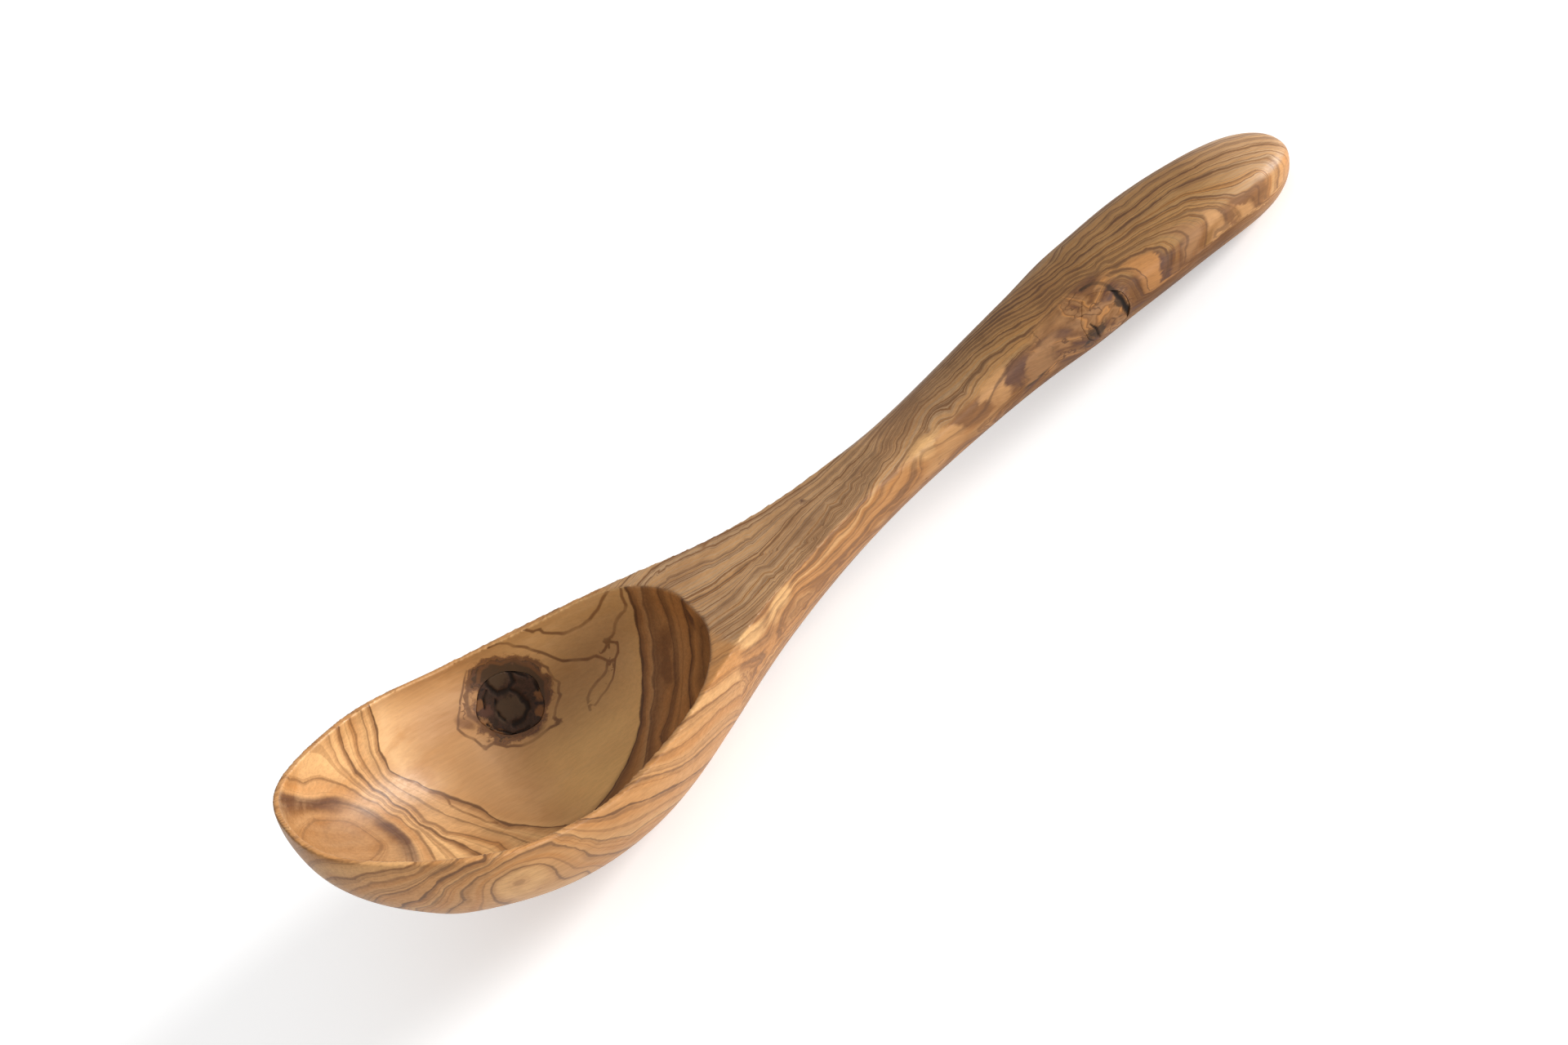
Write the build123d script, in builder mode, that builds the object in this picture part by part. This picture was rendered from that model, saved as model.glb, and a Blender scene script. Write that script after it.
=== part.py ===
"""Olive-wood serving spoon: one carved body and the two dead knots that its wood grips.

It is drawn with the rim of the bowl level, +X from the tip to the end of the handle. At the
end it is tilted onto the two places that it rests on: its bowl and the end of its handle.
"""
import os
from math import atan, copysign, cos, degrees, pi, radians, sin

from build123d import *

os.makedirs("parts", exist_ok=True)

# Lengths along the spoon
bowl_front = 55.0
bowl_rear = 58.0
neck_reach = 62.0
handle_swell = 83.0
handle_close = 42.0

# Widths
bowl_width = 73.0
neck_width = 18.0
handle_width = 28.8

# Heights of the widest line above the lowest place of the rim
tip_lift = 10.5
hollow_end_lift = 9.5
neck_lift = 23.5
handle_lift = 45.3
end_lift = 48.8

# Depths of the underside: below the lowest place of the rim, then below the widest line
bowl_depth = 33.0
neck_depth = 15.0
handle_depth = 12.8

# Heights of the uncut top above the widest line
bowl_crown = 11.0
neck_crown = 3.4
handle_crown = 7.4

# The hollow, and how far the rim's edge stands above the widest line
rim_width = 1.8
rim_lip = 0.8
floor_thickness = 6.0
hollow_cap = 6.0

# The flat that the bowl stands on, and an overrun for cuts
foot_depth = 0.4
overrun = 5.0

# The dead knot through the far wall of the bowl, a stub of a branch that leans down and out
bowl_knot_forward = 16.0
bowl_knot_aside = 26.5
bowl_knot_height = -13.0
bowl_knot_lean = 35.0
bowl_knot_inner_radius = 8.0
bowl_knot_outer_radius = 9.0
bowl_knot_length = 30.0

# The dead knot in the near side of the handle, a blind stub that narrows inwards
handle_knot_back = 24.0
handle_knot_height = 38.5
handle_knot_depth = 9.0
handle_knot_inner_radius = 6.5
handle_knot_outer_radius = 8.0

# A section is a superellipse: 2 is an ellipse, and more is squarer
body_power = 2.4
hollow_power = 2.3
section_points = 20

# Places along the spoon
widest_x = bowl_front
hollow_end_x = widest_x + bowl_rear
neck_x = hollow_end_x + neck_reach
handle_x = neck_x + handle_swell
end_x = handle_x + handle_close
bowl_half = bowl_width / 2
neck_half = neck_width / 2
handle_half = handle_width / 2


def between(start, end, share):
    """The value at a share of the way from start to end."""
    return start + (end - start) * share


def stretch(start, end, low, high, shares):
    """Points along a stretch, each at a share of its run and of its rise."""
    return [(between(start, end, along), between(low, high, up)) for along, up in shares]


def reading(line, x):
    """The value of a drawn line at the place x."""
    crossings = [edge.intersect(Axis((x, 0), (0, 1))) for edge in line.edges()]
    return [hits[0].Y for hits in crossings if hits][0]


def oval(half_width, rise, drop, power):
    """Points of a section that is widest at its own level, round from its lowest place."""
    points = []
    for k in range(section_points):
        across, up = sin(2 * pi * k / section_points), -cos(2 * pi * k / section_points)
        height = rise if up > 0 else drop
        points.append(
            (
                half_width * copysign(abs(across) ** (2 / power), across),
                height * copysign(abs(up) ** (2 / power), up),
            )
        )
    return points


# Outline from above, as half widths
front_outline_shares = [(0, 0), (0.22, 0.625), (0.5, 0.866), (1, 1)]
rear_outline_shares = [(0, 1), (0.3, 0.96), (0.62, 0.82), (1, 0.57)]
neck_outline_shares = [(0.4, 0.125), (0.7, 0.03), (1, 0)]
handle_outline_shares = [(0, 0), (0.5, 0.43), (1, 1)]
end_outline_shares = [(0.52, 0.89), (0.76, 0.765), (1, 0)]
with BuildLine() as outline:
    Spline(
        *stretch(0, widest_x, 0, bowl_half, front_outline_shares),
        tangents=[(0, 1), (1, 0)],
    )
    Spline(
        *stretch(widest_x, hollow_end_x, 0, bowl_half, rear_outline_shares),
        *stretch(hollow_end_x, neck_x, neck_half, bowl_half, neck_outline_shares),
        tangents=[(1, 0), (1, 0)],
    )
    Spline(
        *stretch(neck_x, handle_x, neck_half, handle_half, handle_outline_shares),
        *stretch(handle_x, end_x, 0, handle_half, end_outline_shares),
        tangents=[(1, 0), (0, -1)],
    )

# Widest line from the side
front_rim_shares = [(0, 1), (0.42, 0.42)]
rise_shares = [(0.55, 0.585), (1, 1)]
rim_low_share = 0.2
rim_low_x = between(widest_x, hollow_end_x, rim_low_share)
rim_points = stretch(0, rim_low_x, 0, tip_lift, front_rim_shares)
rim_points += [(rim_low_x, 0), (hollow_end_x, hollow_end_lift), (neck_x, neck_lift)]
rim_points += stretch(neck_x, handle_x, neck_lift, handle_lift, rise_shares)
rim_points += [(end_x, end_lift)]
with BuildLine() as rim_line:
    Spline(*rim_points)

# Underside from the side
front_keel_shares = [(0, 1), (0.07, 0.62), (0.2, 0.385), (0.46, 0.145), (0.75, 0.04), (1, 0)]
rear_keel_shares = [(0, 0), (0.5, 0.055), (1, 0.265)]
neck_keel_shares = [(0.4, 0.58), (1, 1)]
handle_keel_shares = [(0.5, 0.57), (1, 1)]
end_keel_shares = [(0, 0), (0.52, 0.2), (0.76, 0.35), (1, 1)]
keel_low_share = 0.22
keel_low_x = between(widest_x, hollow_end_x, keel_low_share)
neck_keel = neck_lift - neck_depth
handle_keel = handle_lift - handle_depth
with BuildLine() as keel_line:
    Spline(
        *stretch(0, keel_low_x, -bowl_depth, tip_lift, front_keel_shares),
        tangents=[(0, -1), (1, 0)],
    )
    long_keel = Spline(
        *stretch(keel_low_x, hollow_end_x, -bowl_depth, neck_keel, rear_keel_shares),
        *stretch(hollow_end_x, neck_x, -bowl_depth, neck_keel, neck_keel_shares),
        *stretch(neck_x, handle_x, neck_keel, handle_keel, handle_keel_shares),
    )
    Spline(
        *stretch(handle_x, end_x, handle_keel, end_lift, end_keel_shares),
        tangents=[long_keel % 1, (0, 1)],
    )

# Rise of the uncut top above the widest line
front_crown_shares = [(0, 0), (0.08, 0.42), (0.35, 0.86), (1, 1)]
neck_crown_shares = [(0.4, 0.28), (1, 0)]
handle_crown_shares = [(0.3, 0.7), (0.6, 0.97), (1, 1)]
end_crown_shares = [(0.52, 0.92), (0.78, 0.76), (1, 0)]
with BuildLine() as crown_line:
    Spline(
        *stretch(0, widest_x, 0, bowl_crown, front_crown_shares),
        tangents=[(0, 1), (1, 0)],
    )
    Spline(
        (widest_x, bowl_crown),
        *stretch(hollow_end_x, neck_x, neck_crown, bowl_crown, neck_crown_shares),
        *stretch(neck_x, handle_x, neck_crown, handle_crown, handle_crown_shares),
        tangents=[(1, 0), (1, 0)],
    )
    Spline(
        (handle_x, handle_crown),
        *stretch(handle_x, end_x, 0, handle_crown, end_crown_shares),
        tangents=[(1, 0), (0, -1)],
    )

# Top of the hollow from above, and its floor from the side
hollow_front_shares = [(0, 0), (0.2, 0.6), (0.5, 0.862), (1, 1)]
hollow_rear_shares = [(0, 1), (0.3, 0.955), (0.6, 0.815), (0.8, 0.675), (0.93, 0.44), (1, 0)]
hollow_half = bowl_half - rim_width
with BuildLine() as hollow_outline:
    Spline(
        *stretch(rim_width, widest_x, 0, hollow_half, hollow_front_shares),
        tangents=[(0, 1), (1, 0)],
    )
    Spline(
        *stretch(widest_x, hollow_end_x, 0, hollow_half, hollow_rear_shares),
        tangents=[(1, 0), (0, -1)],
    )

front_floor_shares = [(0, 1), (0.06, 0.66), (0.2, 0.39), (0.5, 0.12), (1, 0)]
rear_floor_shares = [(0, 0), (0.4, 0.08), (0.7, 0.25), (0.9, 0.56), (1, 1)]
floor_z = floor_thickness - bowl_depth
floor_low_x = between(widest_x, hollow_end_x, rim_low_share)
with BuildLine() as floor_line:
    Spline(
        *stretch(rim_width, floor_low_x, floor_z, tip_lift, front_floor_shares),
        tangents=[(0, -1), (1, 0)],
    )
    Spline(
        *stretch(floor_low_x, hollow_end_x, floor_z, hollow_end_lift, rear_floor_shares),
        tangents=[(1, 0), (0, 1)],
    )

# Stations that the sections stand at
bowl_station_shares = [0.001, 0.004, 0.012, 0.03, 0.06, 0.11, 0.18, 0.27, 0.38, 0.5, 0.63, 0.76, 0.88, 1]
handle_station_shares = [0.08, 0.17, 0.26, 0.36, 0.47, 0.58, 0.69, 0.79, 0.87, 0.93, 0.97, 0.99, 0.999]
hollow_station_shares = [0.001, 0.005, 0.02, 0.06, 0.13, 0.24, 0.37, 0.5, 0.63, 0.75, 0.85, 0.92, 0.97, 0.993, 0.999]
body_stations = [hollow_end_x * share for share in bowl_station_shares]
body_stations += [between(hollow_end_x, end_x, share) for share in handle_station_shares]
hollow_stations = [between(rim_width, hollow_end_x, share) for share in hollow_station_shares]


def section_at(x, half_width, level, rise, drop, power):
    """One section of a loft, standing across the spoon at the place x."""
    points = [(y, level + z) for y, z in oval(half_width, rise, drop, power)]
    with BuildSketch(Plane.YZ.offset(x)) as section:
        with BuildLine():
            Spline(*points, periodic=True)
        make_face()
    return section.sketch


# Level that the bowl and the neck are cut down to, which runs out above the neck's crown
tip_cut_share = 0.23
neck_cut_share = 0.6
neck_rise_share = 0.59
cut_end_share = 0.16
cut_rise_share = 0.19
cut_end_x = between(neck_x, handle_x, cut_end_share)
cut_points = [(-overrun, tip_lift + rim_lip + overrun * tip_cut_share)]
cut_points += [(x, z + rim_lip) for x, z in rim_points if x <= hollow_end_x]
cut_points += [
    (
        between(hollow_end_x, neck_x, neck_cut_share),
        between(hollow_end_lift, neck_lift, neck_rise_share) + rim_lip,
    ),
    (neck_x, neck_lift + neck_crown + rim_lip),
    (cut_end_x, between(neck_lift, handle_lift, cut_rise_share) + handle_crown + rim_lip),
]

with BuildPart() as carving:
    body_sections = []
    for x in body_stations:
        level = reading(rim_line, x)
        drop = level - reading(keel_line, x)
        rise = reading(crown_line, x)
        body_sections.append(section_at(x, reading(outline, x), level, rise, drop, body_power))
    loft(sections=body_sections)

    # The top of the bowl and the neck is cut flat across
    with BuildSketch(Plane.XZ):
        with BuildLine():
            cut_line = Spline(*cut_points)
            Polyline(
                cut_line @ 1,
                (cut_end_x, end_lift + bowl_depth),
                (-overrun, end_lift + bowl_depth),
                cut_line @ 0,
            )
        make_face()
    extrude(amount=bowl_width, both=True, mode=Mode.SUBTRACT)

with BuildPart() as hollow:
    hollow_sections = []
    for x in hollow_stations:
        level = reading(rim_line, x) + rim_lip
        drop = level - reading(floor_line, x)
        hollow_sections.append(
            section_at(x, reading(hollow_outline, x), level, hollow_cap, drop, hollow_power)
        )
    loft(sections=hollow_sections)

# Tilt at which the bowl and the end of the handle both touch the table
bowl_places = [x for x in body_stations if x <= hollow_end_x]
handle_places = [x for x in body_stations if x > handle_x]
bowl_keel = [(x, reading(keel_line, x)) for x in bowl_places]
far_keel = [(x, reading(keel_line, x)) for x in handle_places]
rest_slope = min(max((far_z - z) / (far_x - x) for x, z in bowl_keel) for far_x, far_z in far_keel)
rest_tilt = degrees(atan(rest_slope))

with BuildPart() as hollowed:
    add(carving.part)
    add(hollow.part, mode=Mode.SUBTRACT)
tilted_box = (Rot(0, rest_tilt, 0) * hollowed.part).bounding_box()
seat = Pos(-tilted_box.center().X, 0, -tilted_box.min.Z - foot_depth) * Rot(0, rest_tilt, 0)


# Set down on the table, which wears a small flat under the bowl and under the handle's end
with BuildPart() as seated:
    add(seat * hollowed.part)
    Box(
        *[end_x + overrun, bowl_width + overrun, bowl_depth],
        align=(Align.CENTER, Align.CENTER, Align.MAX),
        mode=Mode.SUBTRACT,
    )

bowl_knot_place = seat * Plane(
    origin=(widest_x + bowl_knot_forward, bowl_knot_aside, bowl_knot_height),
    x_dir=(1, 0, 0),
    z_dir=(0, cos(radians(bowl_knot_lean)), -sin(radians(bowl_knot_lean))),
).location
handle_knot_place = seat * Plane(
    origin=(handle_x - handle_knot_back, handle_knot_depth - handle_half, handle_knot_height),
    x_dir=(1, 0, 0),
    z_dir=(0, -1, 0),
).location

with BuildPart() as bowl_knot:
    add(seated.part)
    with Locations(bowl_knot_place):
        Cone(bowl_knot_inner_radius, bowl_knot_outer_radius, bowl_knot_length, mode=Mode.INTERSECT)

with BuildPart() as handle_knot:
    add(seated.part)
    with Locations(handle_knot_place):
        Cone(
            *[handle_knot_inner_radius, handle_knot_outer_radius, handle_knot_depth + overrun],
            align=(Align.CENTER, Align.CENTER, Align.MIN),
            mode=Mode.INTERSECT,
        )

with BuildPart() as spoon_body:
    add(seated.part)
    add([bowl_knot.part, handle_knot.part], mode=Mode.SUBTRACT)

spoon_body.part.label = "spoon_body"
bowl_knot.part.label = "bowl_knot"
handle_knot.part.label = "handle_knot"
export_step(spoon_body.part, "parts/spoon_body.step")
export_step(bowl_knot.part, "parts/bowl_knot.step")
export_step(handle_knot.part, "parts/handle_knot.step")
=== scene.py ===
"""Olive-wood serving spoon: an oiled, figured skin over the carved body, and its two dead knots.

The figure of the wood is laid out from places given on the photograph. Each place is
sent out from the camera onto the carved surface, so every line of the grain lies on the wood
itself and looks right from all sides.
"""
import math

import bmesh
import bpy
import numpy as np
from mathutils import Matrix, Vector, noise
from mathutils.bvhtree import BVHTree
from mathutils.kdtree import KDTree


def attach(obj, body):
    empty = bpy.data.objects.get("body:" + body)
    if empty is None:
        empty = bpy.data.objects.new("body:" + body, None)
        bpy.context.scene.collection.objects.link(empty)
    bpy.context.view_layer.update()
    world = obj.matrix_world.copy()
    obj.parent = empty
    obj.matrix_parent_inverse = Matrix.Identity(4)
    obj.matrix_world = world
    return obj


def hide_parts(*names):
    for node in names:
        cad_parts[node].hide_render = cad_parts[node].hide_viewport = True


bl_info = {
    "name": "Olive Wood Spoon",
    "version": (1, 0, 0),
    "blender": (4, 5, 0),
    "location": "3D View > Sidebar > Spoon",
    "description": "Dresses a carved serving spoon in figured olive wood",
    "category": "Object",
}

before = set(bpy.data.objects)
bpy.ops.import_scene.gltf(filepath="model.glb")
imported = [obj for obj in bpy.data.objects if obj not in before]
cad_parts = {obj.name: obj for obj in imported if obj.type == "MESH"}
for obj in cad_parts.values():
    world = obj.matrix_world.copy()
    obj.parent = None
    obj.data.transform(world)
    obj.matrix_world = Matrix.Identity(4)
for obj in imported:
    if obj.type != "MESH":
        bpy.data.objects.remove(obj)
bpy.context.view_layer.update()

MM = 0.001

# The spoon was carved with its rim level, then tilted by this onto the table, in degrees
REST_TILT = 19.159
SEAT = Vector((-0.15066, 0, 0.0587))

# The photograph's camera, in the frame of the spoon at rest on the table
PHOTO_WIDTH = 1920
PHOTO_HEIGHT = 1280
SENSOR = 36.0
LENS = 88.24
AIM = Vector((-0.0072, 0, 0.01458))
AIM_COLUMN = 1003.6
AIM_ROW = 674.8
CAMERA_DISTANCE = 0.95
CAMERA_AZIMUTH = -6.943
CAMERA_ELEVATION = 45.295
CAMERA_ROLL = -38.408

# Zones of the wood on the carving, in millimetres from the tip of the bowl, or from the middle
# line to the far side. A zone fades in from its first number to its second
# DOWN_FLOOR also sets where the floor passes from a painted highlight near the tip to painted shade
DOWN_FLOOR = (16, 62)
BEHIND_FLOOR = (60, 77)
# FAR_WALL and FAR_WALL_ACROSS set where the far wall of the hollow is darkened as painted shade
FAR_WALL = (48, 72)
FAR_WALL_ACROSS = (8, 24)
HOLLOW_END = (114, 118)
NECK = (98, 118)
NECK_LINES = 108
HANDLE = (180, 215)
HANDLE_END = (290, 270)
HANDLE_VEINS = 200
FAR_SIDE = (-4, 8)
FAR_TOP = (0, 4)

# The same for how far the wood faces: into the hollow, up, down, and up no more on the far side
FACING_IN = (0.1, 0.3)
FACING_UP = (0.5, 0.72)
FACING_DOWN = (-0.1, -0.5)
FACING_FLAT = (0.15, -0.25)

# The middle line of the hollow, by which its inside is told from the outside: its two ends, where
# the rim is lowest, how far behind that the hollow ends, and how high the rim rises at both ends
MIDDLE_ENDS = (18, 98)
RIM_LOWEST, RIM_BEHIND = 55, 58
TIP_RISE, BACK_RISE = 10.5, 9.5

# The unseen wood: how far apart its rings lie, how deep their centre is, and how fast they pass
RING_SPACING = 3.2
RING_CENTRE = 6
UNSEEN_RATE = 0.3

# The burl round the knot in the handle: how far it reaches to the tip, to the end and across
BURL_REACH = (27, 9, 10)

# Lines of the growth seen in the hollow, numbered outwards from the pale floor. A whole number
# is a dark line of its own, and a half is only wood between two of them
HOLLOW_LINES = [
    (-2.5, [(500, 905), (560, 930), (640, 960), (700, 920), (745, 870)]),
    (-4.5, [(540, 880), (620, 900), (700, 850)]),
    (0, [(452, 866), (461, 891), (464, 921), (476, 945), (510, 957), (545, 973), (577, 984)]),
    (0, [(590, 990), (605, 1003), (622, 1012), (665, 1013), (692, 1010), (715, 1000)]),
    (0, [(735, 985), (751, 965), (768, 935), (778, 912), (786, 886), (788, 849), (788, 813)]),
    (0, [(785, 780), (778, 746), (771, 727)]),
    (1, [(795, 873), (799, 833), (798, 800), (795, 769), (787, 741)]),
    (2, [(804, 726), (818, 757), (826, 798), (828, 838), (820, 873), (807, 901), (787, 941)]),
    (3, [(844, 769), (849, 806), (844, 847), (830, 888)]),
    (4, [(857, 770), (859, 800), (856, 835)]),
    (1, [(444, 873), (450, 896), (454, 918), (461, 932)]),
    (2, [(428, 879), (437, 900), (438, 918), (451, 943), (469, 964), (492, 982), (519, 1009)]),
    (2, [(545, 1021), (581, 1025), (612, 1031)]),
    (3, [(411, 889), (420, 916), (435, 946), (456, 968), (481, 986), (504, 1000), (528, 1014)]),
    (3, [(554, 1029), (577, 1041)]),
    (4, [(402, 896), (411, 921), (428, 948), (447, 966)]),
    (5, [(354, 957), (372, 963), (402, 957), (433, 968), (465, 982), (492, 998), (512, 1017)]),
    (5, [(522, 1035), (530, 1050)]),
    (6, [(356, 979), (390, 986), (415, 982), (447, 993), (476, 1014), (499, 1034), (503, 1043)]),
    (6, [(490, 1054), (456, 1058)]),
    (7, [(385, 1004), (440, 1014), (470, 1035), (462, 1046), (430, 1040)]),
    (8, [(412, 1016), (424, 1026)]),
]

# Lines of the growth on the near outer side of the bowl
SIDE_LINES = [
    (0, [(400, 1067), (412, 1078), (435, 1078), (459, 1069), (495, 1065), (513, 1062)]),
    (1, [(439, 1087), (455, 1080), (490, 1074), (515, 1063)]),
    (2, [(459, 1105), (466, 1096), (497, 1091), (522, 1076), (546, 1063)]),
    (3, [(495, 1111), (515, 1103), (533, 1089), (535, 1080), (562, 1067), (593, 1054)]),
    (4, [(504, 1112), (535, 1100), (544, 1089), (571, 1071), (604, 1051)]),
    (5, [(555, 1112), (571, 1103), (564, 1091), (584, 1074), (622, 1054)]),
    (6, [(627, 1103), (660, 1089), (694, 1076), (720, 1065)]),
    (6, [(600, 1090), (606, 1078), (625, 1066), (640, 1061), (660, 1058)]),
    (5, [(676, 1031), (691, 1035), (705, 1037), (716, 1041), (722, 1049)]),
    (4, [(687, 1025), (711, 1029), (732, 1031), (771, 1025)]),
    (3, [(735, 1000), (770, 985), (800, 975), (840, 955)]),
    (2, [(789, 953), (814, 945), (834, 939), (854, 925), (875, 906), (905, 878)]),
    (1, [(815, 925), (845, 905), (880, 870), (905, 850)]),
    (0, [(870, 862), (888, 848), (897, 839), (920, 829), (938, 818)]),
    (-1, [(872, 840), (893, 823), (920, 812), (938, 795), (949, 777)]),
]

# Lines of the growth along the neck and the handle, numbered from the far edge to the near side
# and on into the knot in the handle
LENGTH_LINES = [
    (0.5, [(800, 700), (850, 678), (930, 638), (1000, 590), (1100, 494), (1200, 397)]),
    (0.5, [(1300, 302), (1400, 222), (1460, 190), (1540, 166)]),
    (2, [(842, 739), (859, 731), (880, 718), (897, 702), (913, 691), (932, 679), (945, 668)]),
    (2, [(955, 652), (975, 625), (1000, 608), (1040, 570)]),
    (3, [(865, 757), (888, 741), (907, 724), (936, 702), (945, 689), (968, 660), (990, 633)]),
    (3, [(1010, 610), (1040, 590), (1070, 558)]),
    (4, [(867, 770), (893, 752), (911, 741), (938, 718), (965, 695), (992, 668), (1007, 645)]),
    (4, [(1030, 618), (1055, 588), (1080, 554)]),
    (5, [(867, 783), (880, 773), (911, 754), (934, 733), (953, 714)]),
    (6, [(870, 797), (886, 787), (903, 777), (917, 766), (930, 754), (942, 742), (970, 702)]),
    (6, [(990, 680), (1012, 648)]),
    (7, [(893, 803), (920, 773), (945, 748), (978, 703), (1003, 673), (1022, 650), (1045, 632)]),
    (7, [(1059, 614), (1062, 590), (1080, 566), (1110, 515), (1123, 493), (1146, 475)]),
    (7, [(1168, 455), (1188, 435), (1201, 425), (1225, 408), (1250, 390), (1290, 367)]),
    (7, [(1305, 353), (1328, 341), (1352, 324), (1383, 312), (1403, 303), (1420, 301)]),
    (7, [(1427, 304), (1430, 318), (1429, 332), (1424, 345), (1420, 357)]),
    (8, [(1057, 624), (1080, 606), (1100, 580), (1119, 549), (1137, 529), (1165, 505)]),
    (8, [(1183, 482), (1201, 455), (1226, 431), (1254, 411), (1283, 385), (1303, 367), (1336, 347)]),
    (8, [(899, 805), (917, 796), (940, 780), (952, 745), (975, 715), (1010, 690), (1045, 655)]),
    (9, [(920, 812), (949, 785), (961, 755), (976, 728), (1000, 712), (1040, 676), (1075, 640)]),
    (10, [(945, 805), (965, 770), (990, 740)]),
    (9, [(1126, 553), (1152, 545), (1190, 535), (1215, 510), (1240, 475)]),
    (8, [(1350, 340), (1367, 332), (1385, 329), (1397, 338), (1403, 353), (1404, 364)]),
    (9, [(1360, 343), (1373, 337), (1388, 343), (1397, 357), (1400, 366)]),
    (10, [(1342, 351), (1357, 353), (1366, 360), (1378, 377), (1385, 388)]),
    (1, [(1260, 352), (1300, 322), (1340, 285), (1395, 235), (1420, 217), (1460, 198)]),
    (1, [(1500, 176), (1535, 169)]),
    (2, [(1259, 358), (1290, 333), (1320, 306), (1360, 267), (1395, 247), (1420, 228), (1448, 212)]),
    (2, [(1470, 199), (1500, 186), (1530, 178), (1552, 176)]),
    (3, [(1245, 373), (1274, 350), (1300, 330), (1320, 313), (1340, 299), (1368, 283), (1392, 265)]),
    (3, [(1412, 248), (1433, 233), (1460, 220), (1487, 208), (1515, 201), (1538, 197), (1554, 191)]),
    (4, [(1245, 382), (1274, 362), (1299, 340), (1325, 327), (1346, 311), (1367, 296), (1390, 278)]),
    (4, [(1418, 263), (1440, 252), (1472, 243), (1487, 241), (1512, 240), (1527, 235), (1545, 215)]),
    (3, [(1556, 198), (1562, 208), (1563, 222), (1560, 237)]),
    (5, [(1440, 266), (1452, 256), (1478, 251), (1490, 252), (1500, 262), (1508, 275)]),
    (5, [(1250, 387), (1300, 352), (1340, 327), (1380, 300), (1410, 281)]),
    (6, [(1340, 337), (1360, 323), (1380, 308), (1395, 300), (1410, 293), (1423, 287), (1440, 283)]),
    (6, [(1455, 290), (1450, 305), (1448, 325), (1440, 337)]),
    (5, [(1485, 268), (1482, 282), (1480, 300), (1478, 313)]),
]

# Veins and cracks wander off their places in waves of so many millimetres, by the same chance
# each time
WANDER_SEED = 7
WANDER_WAVE = 3

# Fine veins that wander across the pale floor, and their widths in millimetres
FLOOR_VEINS = [
    (1.3, [(628, 807), (636, 811), (650, 816), (660, 824), (668, 834), (670, 850), (669, 864)]),
    (1.5, [(669, 864), (660, 876), (656, 888), (644, 898), (632, 902), (616, 900), (600, 890)]),
    (1.1, [(586, 832), (588, 820), (600, 812), (612, 813), (628, 807)]),
    (0.9, [(562, 878), (560, 892), (570, 901), (580, 904), (593, 918), (604, 910), (620, 915)]),
    (0.9, [(620, 915), (640, 913), (654, 906), (672, 893), (687, 884), (678, 879), (680, 870)]),
    (0.8, [(680, 870), (687, 851), (684, 847), (685, 836), (678, 832), (673, 824), (670, 818)]),
    (0.8, [(670, 818), (660, 813), (650, 809), (636, 805)]),
    (1.8, [(575, 834), (570, 850), (571, 864), (576, 876), (588, 886), (600, 896)]),
    (0.7, [(571, 823), (568, 840), (564, 858), (562, 878)]),
    (1.0, [(601, 792), (612, 788), (621, 788), (629, 792), (643, 793), (658, 798), (673, 804)]),
    (1.0, [(673, 804), (689, 809), (704, 809), (718, 807), (728, 803), (738, 806), (747, 810)]),
    (1.1, [(643, 772), (652, 774), (660, 770), (666, 775), (676, 776), (689, 776), (699, 772)]),
    (1.1, [(699, 772), (710, 767), (722, 758), (731, 747), (738, 735), (742, 726)]),
    (1.0, [(759, 720), (762, 731), (766, 741), (764, 749), (756, 757), (753, 766), (751, 778)]),
    (0.9, [(751, 778), (744, 784), (742, 792), (739, 797)]),
    (0.9, [(742, 786), (756, 787), (757, 798), (754, 807), (745, 810), (742, 821), (733, 833)]),
    (0.9, [(733, 833), (725, 845), (719, 856), (722, 866)]),
    (0.7, [(754, 807), (753, 821), (750, 832), (744, 842), (736, 853), (730, 861)]),
    (0.8, [(497, 955), (510, 961), (528, 971), (542, 973), (549, 979), (552, 987), (572, 996)]),
    (0.9, [(572, 996), (586, 1002), (595, 1007), (606, 1008)]),
]

# Cracks that run along the dead wood, and their widths in millimetres: round the blobs of the
# knot in the bowl, and round the knot in the handle
BOWL_CRACKS = [
    (1.0, [(593, 829), (597, 821), (606, 817), (618, 818), (625, 824), (628, 833), (623, 844)]),
    (1.0, [(623, 844), (611, 852), (603, 848), (596, 840), (593, 829)]),
    (0.8, [(629, 822), (640, 826), (652, 834), (660, 846)]),
    (1.1, [(623, 844), (634, 850), (643, 858), (646, 868), (640, 880), (630, 886)]),
    (0.7, [(608, 857), (606, 868), (611, 878), (619, 884)]),
    (0.8, [(628, 806), (630, 814), (626, 822)]),
    (0.6, [(594, 846), (590, 856), (593, 868)]),
    (0.7, [(596, 888), (612, 896), (630, 899), (648, 890)]),
]
HANDLE_KNOT = (1352, 380)
HANDLE_CRACKS = [
    (1.3, [(1326, 353), (1334, 348), (1346, 347), (1357, 351), (1366, 358), (1373, 367),
           (1379, 376)]),
    (1.6, [(1379, 376), (1384, 384), (1387, 391)]),
    (0.6, [(1336, 396), (1343, 404), (1347, 412)]),
]

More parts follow.
